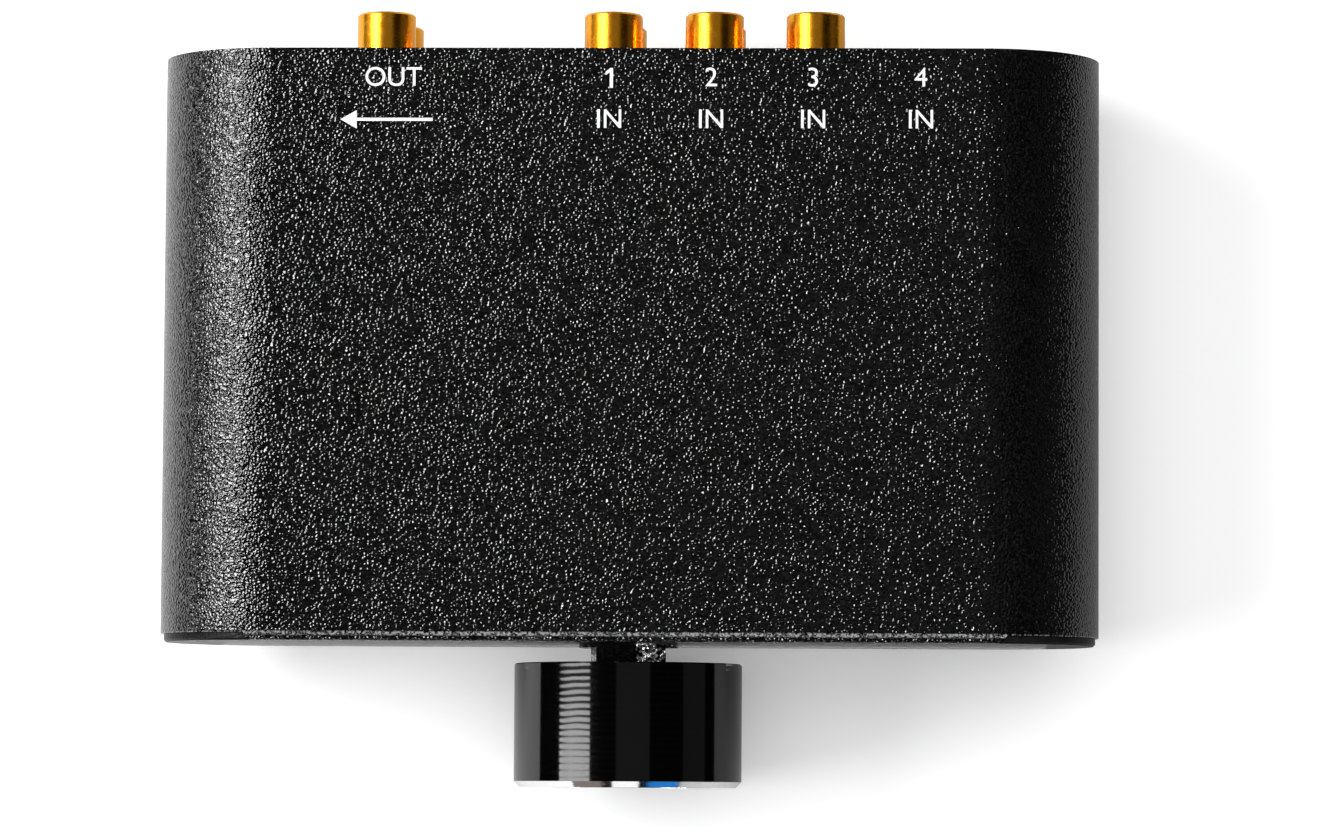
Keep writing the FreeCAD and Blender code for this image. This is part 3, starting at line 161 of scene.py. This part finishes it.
def make_camera():
    forward = (CAMERA_AIM - CAMERA_PLACE).normalized()
    right = forward.cross(Vector((0, 1, 0))).normalized()
    up = right.cross(forward)
    roll = math.radians(CAMERA_ROLL)
    turned_right = math.cos(roll) * right + math.sin(roll) * up
    turned_up = math.cos(roll) * up - math.sin(roll) * right
    data = bpy.data.cameras.new("camera")
    data.sensor_width = SENSOR_WIDTH
    data.lens = FOCAL_PIXELS / PHOTO_WIDTH * SENSOR_WIDTH
    data.clip_start = 0.01
    data.clip_end = 20
    camera = bpy.data.objects.new("camera", data)
    bpy.context.scene.collection.objects.link(camera)
    axes = Matrix((turned_right, turned_up, -forward)).transposed()
    camera.matrix_world = Matrix.Translation(CAMERA_PLACE) @ axes.to_4x4()
    bpy.context.scene.camera = camera


class Graph:
    """The nodes of a material or a world, with a short call for each kind that is used here."""

    def __init__(self, owner, bare=False):
        owner.use_nodes = True
        self.owner = owner
        self.nodes = owner.node_tree.nodes
        self.links = owner.node_tree.links
        if bare:
            self.nodes.clear()

    def feed(self, node, inputs):
        """Sets a node's inputs, given by name or number, to values or links them to sockets."""
        for key, value in inputs.items():
            if isinstance(value, bpy.types.NodeSocket):
                self.links.new(value, node.inputs[key])
            else:
                node.inputs[key].default_value = value

    def new(self, kind, inputs):
        node = self.nodes.new("ShaderNode" + kind)
        self.feed(node, inputs)
        return node

    def shade(self, inputs):
        """Fills in the principled shader and gives back its material."""
        self.feed(self.nodes["Principled BSDF"], inputs)
        return self.owner

    def place(self):
        return self.new("TexCoord", {}).outputs["Object"]

    def axis(self, vector, name):
        return self.new("SeparateXYZ", {0: vector}).outputs[name]

    def noise(self, place, scale, detail=2.0, roughness=0.5, stretch=WHITE):
        stretched = self.new("Mapping", {"Vector": place, "Scale": stretch}).outputs["Vector"]
        settings = {"Scale": scale, "Detail": detail, "Roughness": roughness}
        return self.new("TexNoise", {"Vector": stretched, **settings}).outputs["Fac"]

    def bands(self, place, pitch, direction, settings):
        """Waves one pitch long, given in m, along a direction."""
        inputs = {"Vector": place, "Scale": math.tau / 20 / pitch, **settings}
        node = self.new("TexWave", inputs)
        node.bands_direction = direction
        return node.outputs["Fac"]

    def ramp(self, value, stops):
        node = self.new("ValToRGB", {"Fac": value})
        elements = node.color_ramp.elements
        while len(elements) < len(stops):
            elements.new(0.5)
        for element, (position, colour) in zip(elements, stops):
            element.position = position
            element.color = (*colour, 1)
        return node.outputs["Color"]

    def tone(self, value, dark, light):
        return self.ramp(value, [(0.3, dark), (0.7, light)])

    def remap(self, value, low=0.0, high=1.0, begin=0.0, end=1.0):
        """Takes begin to low and end to high."""
        ranges = {"From Min": begin, "From Max": end, "To Min": low, "To Max": high}
        return self.new("MapRange", {"Value": value, **ranges}).outputs["Result"]

    def vector(self, operation, *operands):
        node = self.new("VectorMath", dict(enumerate(operands)))
        node.operation = operation
        return node.outputs["Value" if operation == "LENGTH" else "Vector"]

    def scalar(self, operation, first, second):
        node = self.new("Math", {0: first, 1: second})
        node.operation = operation
        return node.outputs[0]

    def bump(self, height, distance):
        return self.new("Bump", {"Height": height, "Distance": distance}).outputs["Normal"]

    def emission(self, strength, colour=WHITE):
        return self.new("Emission", {"Color": (*colour, 1), "Strength": strength}).outputs[0]

    def mix(self, share, first, second):
        return self.new("MixShader", {"Fac": share, 1: first, 2: second}).outputs[0]

    def for_camera(self, seen, unseen):
        """One surface for the camera and another for all other rays."""
        path = self.new("LightPath", {})
        return self.mix(path.outputs["Is Camera Ray"], unseen, seen)


def new_material(name):
    return Graph(bpy.data.materials.new(name))


# Materials


def wrinkled_normal(graph, place, cell, lean, bias=BLACK):
    """The face's normal, leant by the slope of waves about one cell wide, and by a bias."""
    def height(offset):
        settings = {"Scale": 1 / cell, "Detail": 0}
        there = graph.vector("ADD", place, offset)
        return graph.new("TexNoise", {"Vector": there, **settings}).outputs["Fac"]

    here = height(BLACK)
    slope = graph.new("CombineXYZ", {})
    for axis in range(3):
        offset = tuple(cell / 4 if axis == other else 0 for other in range(3))
        graph.feed(slope, {axis: graph.scalar("SUBTRACT", height(offset), here)})
    leant = graph.vector("MULTIPLY", slope.outputs[0], (-lean,) * 3)
    leant = graph.vector("ADD", leant, bias)
    flat = graph.new("NewGeometry", {}).outputs["Normal"]
    return graph.vector("NORMALIZE", graph.vector("ADD", flat, leant))


def powder_coat():
    """Black textured powder coat: glossy waves, rolled along the front edge, with a speckled
    painted highlight there.
    """
    graph = new_material("case_powder_coat")
    place = graph.place()
    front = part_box("case_sleeve")[0].y
    behind = graph.remap(graph.axis(place, "Y"), begin=front, end=front + EDGE_DEPTH)
    swell = graph.ramp(behind, [(0, WHITE), (0.25, WHITE), (0.38, BLACK), (0.6, BLACK),
                                (0.75, grey(0.5))])
    swell = graph.vector("SUBTRACT", swell, grey(0.5))
    swell = graph.vector("MULTIPLY", swell, (0, EDGE_SWELL, 0))
    # Painted highlight: speckled brightness in the base colour along a band just behind the front
    # edge
    painted_glint = graph.noise(place, 3000, detail=1)
    painted_glint = graph.ramp(painted_glint, [(0.47, BLACK), (0.56, grey(EDGE_GLINT))])
    glint_band = graph.ramp(behind, [(0.34, BLACK), (0.42, WHITE), (0.58, WHITE), (0.68, BLACK)])
    patches = graph.noise(place, 260)
    tone = graph.tone(patches, grey(0.0008), grey(0.0018))
    return graph.shade({
        "Base Color": graph.vector("ADD", tone, graph.vector("MULTIPLY", painted_glint, glint_band)),
        "Roughness": graph.remap(patches, 0.08, 0.13),
        "IOR": 1.6,
        "Normal": wrinkled_normal(graph, place, PEBBLE, PEBBLE_LEAN, swell),
    })


def satin_paint():
    graph = new_material("panel_satin_black")
    place = graph.place()
    fine = graph.noise(place, 900, detail=3)
    return graph.shade({
        "Base Color": graph.tone(fine, grey(0.008), grey(0.013)),
        "Roughness": graph.remap(fine, 0.25, 0.35),
        "IOR": 1.15,
        "Normal": wrinkled_normal(graph, place, PEBBLE, PANEL_LEAN),
    })


def black_anodised():
    """Turned and black anodised, with faint turning rings along the knob's length."""
    graph = new_material("knob_black_anodised")
    place = graph.place()
    settings = {"Distortion": 2.5, "Detail": 1, "Detail Scale": 0.6}
    rings = graph.bands(place, RING_PITCH, "Y", settings)
    fine = graph.noise(place, 2500, detail=1, stretch=(0.05, 1, 0.05))
    return graph.shade({
        "Base Color": graph.tone(rings, grey(0.0004), grey(0.0007)),
        "Roughness": graph.remap(fine, 0.05, 0.11),
        "IOR": 1.55,
        "Normal": graph.bump(rings, 0.0000032),
    })


def grained(name, dark, light, rough, scale, height, metallic):
    """A material whose tone, roughness and relief follow one fine grain."""
    graph = new_material(name)
    grain = graph.noise(graph.place(), scale, detail=3)
    return graph.shade({
        "Base Color": graph.tone(grain, dark, light),
        "Roughness": graph.remap(grain, *rough),
        "Metallic": metallic,
        "Normal": graph.bump(grain, height),
    })


def metal(name, dark, light, rough, scale=900, height=0.00001):
    return grained(name, dark, light, rough, scale, height, 1.0)


def moulded(name, dark, light, rough=(0.35, 0.5), scale=1200, height=0.00003):
    return grained(name, dark, light, rough, scale, height, 0.0)


def nut_black():
    """Black nickel, with a painted highlight on the flank to the right of the top: bright crinkled
    metal in the base colour.
    """
    graph = new_material("nut_black")
    place = graph.place()
    # Painted highlight: the flank right of the top turns bright crinkled metal, its normals leant
    # by a bias
    side = graph.scalar("GREATER_THAN", graph.axis(place, "X"), NUT_GLINT_FROM)
    crinkle = graph.noise(place, 1100, roughness=0.6, stretch=(0.4, 1, 1))
    painted_glint = graph.ramp(crinkle, [(0.42, BLACK), (0.58, WHITE)])
    painted_glint = graph.scalar("MULTIPLY", side, painted_glint)
    return graph.shade({
        "Base Color": graph.ramp(painted_glint, [(0, grey(0.003)), (1, grey(0.9))]),
        "Metallic": painted_glint,
        "Roughness": 0.25,
        "IOR": 1.1,
        "Normal": wrinkled_normal(graph, place, NUT_CRINKLE, NUT_LEAN, NUT_BIAS),
    })


def ribbon():
    """Grey flat cable with its cores as ridges."""
    graph = new_material("ribbon_grey")
    cores = graph.bands(graph.place(), CORE_PITCH, "X", {})
    return graph.shade({
        "Base Color": graph.ramp(cores, [(0.2, (0.3, 0.3, 0.32)), (0.8, (0.5, 0.5, 0.52))]),
        "Roughness": 0.5,
        "Normal": graph.bump(cores, 0.0003),
    })


def dress_cad_nodes():
    made = {
        "case_coat": powder_coat(),
        "panel_black": satin_paint(),
        "knob_black": black_anodised(),
        "nut_black": nut_black(),
        "ribbon_grey": ribbon(),
    }
    made.update({name: metal(name, *values) for name, values in METALS.items()})
    made.update({name: moulded(name, *values) for name, values in MOULDINGS.items()})
    for part in frame["record"]["subparts"]:
        data = NODES[part["node"]].data
        data.materials.clear()
        data.materials.append(made[part["material_slot"]])


# Print on the top


def flat_mesh(name, corners, material):
    """A piece with one flat face through the corners, given in m."""
    mesh = bpy.data.meshes.new(name)
    mesh.from_pydata(corners, [], [range(len(corners))])
    mesh.materials.append(material)
    piece = bpy.data.objects.new(name, mesh)
    bpy.context.scene.collection.objects.link(piece)
    return piece


def print_height():
    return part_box("case_sleeve")[1].z + PRINT_LIFT * MM


def print_text(name, text, x, y, material):
    curve = bpy.data.curves.new(name, "FONT")
    curve.body = text
    curve.size = LABEL_HEIGHT * MM / CAPITAL_SHARE
    curve.align_x = "CENTER"
    curve.align_y = "CENTER"
    curve.materials.append(material)
    piece = bpy.data.objects.new(name, curve)
    bpy.context.scene.collection.objects.link(piece)
    piece.location = (x * MM, y * MM, print_height())
    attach(piece, "case")


def print_shape(name, outline, x, y, material):
    """A printed shape, its outline given in mm around its middle."""
    corners = [((x + u) * MM, (y + v) * MM, print_height()) for u, v in outline]
    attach(flat_mesh(name, corners, material), "case")


def print_labels():
    ink = moulded("print_white", grey(0.78), grey(0.86), (0.4, 0.55), 800, 0.00002)
    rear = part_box("case_sleeve")[1].y / MM
    numeral_row, word_row = rear - NUMERAL_ROW, rear - WORD_ROW
    for number, x in enumerate(INPUT_COLUMNS, start=1):
        if number == 1:
            print_shape("print_numeral_1", NUMERAL_ONE, x, numeral_row, ink)
        else:
            print_text(f"print_numeral_{number}", str(number), x, numeral_row, ink)
        print_text(f"print_in_{number}", "IN", x, word_row, ink)
    print_text("print_out", "OUT", OUTPUT_COLUMN, numeral_row, ink)
    print_shape("print_arrow", ARROW, ARROW_COLUMN, word_row, ink)


# Recesses and marks on the upright faces


def solid_boxes(node):
    """The boxes of a node's separate solids, as pairs of corners."""
    mesh = NODES[node].data
    spots = [tuple(round(c, 7) for c in vertex.co) for vertex in mesh.vertices]
    home = {spot: spot for spot in spots}

    def root(spot):
        while home[spot] != spot:
            home[spot] = home[home[spot]]
            spot = home[spot]
        return spot

    for edge in mesh.edges:
        first, second = edge.vertices
        home[root(spots[first])] = root(spots[second])
    solids = {}
    for vertex, spot in zip(mesh.vertices, spots):
        solids.setdefault(root(spot), []).append(NODES[node].matrix_world @ vertex.co)
    return [tuple(Vector([pick(spread) for spread in zip(*places)]) for pick in (min, max))
            for places in solids.values()]


def upright_mark(name, outline, place, turn, side, body, material):
    """A flat shape on an upright face, its outline in mm, turned about the face's normal."""
    cosine, sine = math.cos(math.radians(turn)), math.sin(math.radians(turn))
    turned = [(u * cosine - v * sine, u * sine + v * cosine) for u, v in outline]
    corners = [(place.x + u * MM, place.y, place.z + v * MM) for u, v in turned]
    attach(flat_mesh(name, corners if side < 0 else corners[::-1], material), body)


def cut_recesses():
    """A cross recess on each screw head that shows on a panel, as a thin inlay of painted shade."""
    # Painted shade: a near-black inlay stands in for the shade inside each cross recess
    dark = moulded("recess_painted_shade", grey(0.001), grey(0.003), (0.6, 0.8), 900, 0.00002)
    arm, half = CROSS_REACH, CROSS_WIDTH / 2
    cross = [(half, half), (half, arm), (-half, arm), (-half, half), (-arm, half), (-arm, -half),
             (-half, -half), (-half, -arm), (half, -arm), (half, -half), (arm, -half), (arm, half)]
    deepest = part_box("rear_panel")[1].y - SHOWN_DEPTH
    heads = []
    for node, side in SCREW_NODES:
        for low, high in solid_boxes(node):
            place = (low + high) / 2
            place.y = high.y if side > 0 else low.y
            if side < 0 or place.y > deepest:
                heads.append((place, side))
    for count, (place, side) in enumerate(heads, start=1):
        place.y += side * PRINT_LIFT * MM
        name = f"screw_recess_{count}"
        upright_mark(name, cross, place, CROSS_TURN * count, side, "case", dark)


def fill_pointer():
    """White paint in the groove of the knob's face."""
    paint = moulded("pointer_white", grey(0.75), grey(0.82), (0.4, 0.55), 900, 0.00002)
    low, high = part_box("knob_trim_ring")
    middle = (low + high) / 2
    place = Vector((middle.x, low.y + POINTER_SINK * MM, middle.z))
    upright_mark("pointer_fill", POINTER, place, POINTER_TURN, -1, "selector", paint)


# Studio


def make_floor():
    """A white table: reflections show a lit disc of it, and the camera sees all of it brighter."""
    graph = new_material("floor_white")
    place = graph.place()
    # Painted shade: in reflections the table darkens from left to right, where the object's shadow
    # lies
    across = graph.remap(graph.axis(place, "X"), begin=-FLOOR_SHADE_HALF, end=FLOOR_SHADE_HALF)
    albedo = graph.ramp(across, [(0, grey(FLOOR_LEFT)), (1, grey(FLOOR_RIGHT_SHADED))])
    graph.shade({"Base Color": albedo, "Roughness": 0.8})
    bright = graph.new("BsdfDiffuse", {"Color": (*grey(FLOOR_SEEN), 1)}).outputs[0]
    seen = graph.new("AddShader", {0: bright, 1: graph.emission(FLOOR_GLOW)}).outputs[0]
    distance = graph.vector("LENGTH", graph.vector("ADD", place, (LIT_SHIFT, 0, 0)))
    edge = graph.remap(distance, begin=LIT_RADIUS, end=LIT_RADIUS * LIT_FADE)
    lit = graph.nodes["Principled BSDF"].outputs[0]
    reflected = graph.mix(edge, lit, graph.emission(FLOOR_BEYOND))
    graph.feed(graph.nodes["Material Output"], {"Surface": graph.for_camera(seen, reflected)})
    corners = [(x * FLOOR_HALF, y * FLOOR_HALF, 0) for x, y in ((-1, -1), (1, -1), (1, 1), (-1, 1))]
    flat_mesh("floor", corners, graph.owner)


def make_world():
    world = bpy.data.worlds.new("studio")
    bpy.context.scene.world = world
    graph = Graph(world, bare=True)
    seen = graph.new("Background", {"Color": (*grey(BACKGROUND), 1)}).outputs[0]
    around = graph.new("Background", {"Color": (*grey(SURROUNDINGS), 1)}).outputs[0]
    graph.new("OutputWorld", {"Surface": graph.for_camera(seen, around)})


def area_light(name, place, width, height, radiance, glossy=True, diffuse=True):
    """A soft panel light on the object, its brightness with 1.0 as the picture's white."""
    data = bpy.data.lights.new(name, "AREA")
    data.shape = "RECTANGLE"
    data.size = width
    data.size_y = height
    data.energy = radiance * math.pi * width * height
    light = bpy.data.objects.new(name, data)
    bpy.context.scene.collection.objects.link(light)
    light.location = place
    light.rotation_mode = "QUATERNION"
    light.rotation_quaternion = (LIGHT_AIM - Vector(place)).to_track_quat("-Z", "Y")
    light.visible_glossy = glossy
    light.visible_diffuse = diffuse
    light.visible_camera = False


def from_sky(distance, tilt, turn):
    """A place at a distance from the object, in degrees from straight up and round from +X."""
    tilt, turn = math.radians(tilt), math.radians(turn)
    level = math.sin(tilt)
    return Vector((level * math.cos(turn), level * math.sin(turn), math.cos(tilt))) * distance


def emission_card(name, corners, strength, colour=WHITE, ripple=0.0):
    """A glowing card that only reflections see, perhaps with ripples along Y, given in m."""
    graph = Graph(bpy.data.materials.new(name), bare=True)
    glow = strength
    if ripple:
        waves = graph.noise(graph.place(), 1 / ripple, detail=1, stretch=(1, 1, 0.02))
        glow = graph.remap(waves, strength * (1 - RIPPLE_DEPTH), strength * (1 + RIPPLE_DEPTH))
    graph.new("OutputMaterial", {"Surface": graph.emission(glow, colour)})
    card = flat_mesh(name, corners, graph.owner)
    card.visible_camera = False
    card.visible_diffuse = False
    card.visible_shadow = False


def upright_card(name, start, end, low, high, strength):
    """A card that stands between two places on the table, from a low to a high edge."""
    emission_card(name, [(*start, low), (*end, low), (*end, high), (*start, high)], strength)


def level_card(name, start, end, height, strength):
    """A level card between two opposite corners."""
    (x, y), (far_x, far_y) = start, end
    plan = [(x, y), (far_x, y), (far_x, far_y), (x, far_y)]
    emission_card(name, [(*corner, height) for corner in plan], strength)


def wedge(name, low, high, near, colour):
    """A card on the table in front of the knob, between two slopes of x over distance."""
    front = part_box("knob_trim_ring")[0].y
    edges = [(low, near), (low, WEDGE_END), (high, WEDGE_END), (high, near)]
    corners = [(slope * away, front - away, WEDGE_LIFT) for slope, away in edges]
    emission_card(name, corners, 1.0, colour)


def make_lights():
    area_light("key_softbox", from_sky(2.0, 45, 157), 0.6, 1.0, radiance=22, diffuse=False)
    area_light("key_spill", from_sky(1.2, 55, 171), 1.2, 0.66, radiance=7.5, glossy=False)
    area_light("overhead_fill", (0.2, 0.2, 1.6), 2.6, 2.6, radiance=1.75, glossy=False)
    area_light("overhead_sheen", (0.19, 0.0, 1.5), 0.91, 0.9, radiance=0.14)
    area_light("front_softbox", from_sky(1.2, 66, 270), 1.0, 0.4, radiance=2.2, diffuse=False)
    key_edge = [(-0.2, 0.38), (-0.04, 0.38), (-0.03, 0.42), (-0.021, 0.53), (-0.014, 0.75),
                (-0.012, 1.38), (-0.2, 1.38)]
    emission_card("key_edge", [(-1.0, y, z) for y, z in key_edge], strength=7.5, ripple=0.003)
    upright_card("front_white", (-0.14, -1.05), (0.1, -1.05), 0, 0.1, strength=1.1)
    level_card("rear_glow", (-0.35, 0.27), (0.8, 0.6), 1.5, strength=0.22)
    level_card("lip_glow", (-0.06, -0.0363), (0.06, -0.0356), LIP_GLOW_LIFT, strength=3)
    upright_card("back_wall", (-1.2, 1.5), (1.2, 1.5), 0.1, 1.0, strength=0.5)
    upright_card("right_wall", (1.5, -1.0), (1.5, 1.0), 0.12, 0.9, strength=0.1)
    upright_card("left_wall", (-1.3, 0.05), (-1.3, 1.2), 0.1, 0.6, strength=0.5)
    wedge("front_brown", -0.56, -0.14, 0.09, colour=(0.22, 0.19, 0.17))
    wedge("front_blue", 0.105, 0.5, 0.12, colour=(0.02, 0.2, 0.6))


make_camera()
dress_cad_nodes()
print_labels()
cut_recesses()
fill_pointer()
make_world()
make_lights()
make_floor()
bpy.context.scene.view_settings.view_transform = "Standard"
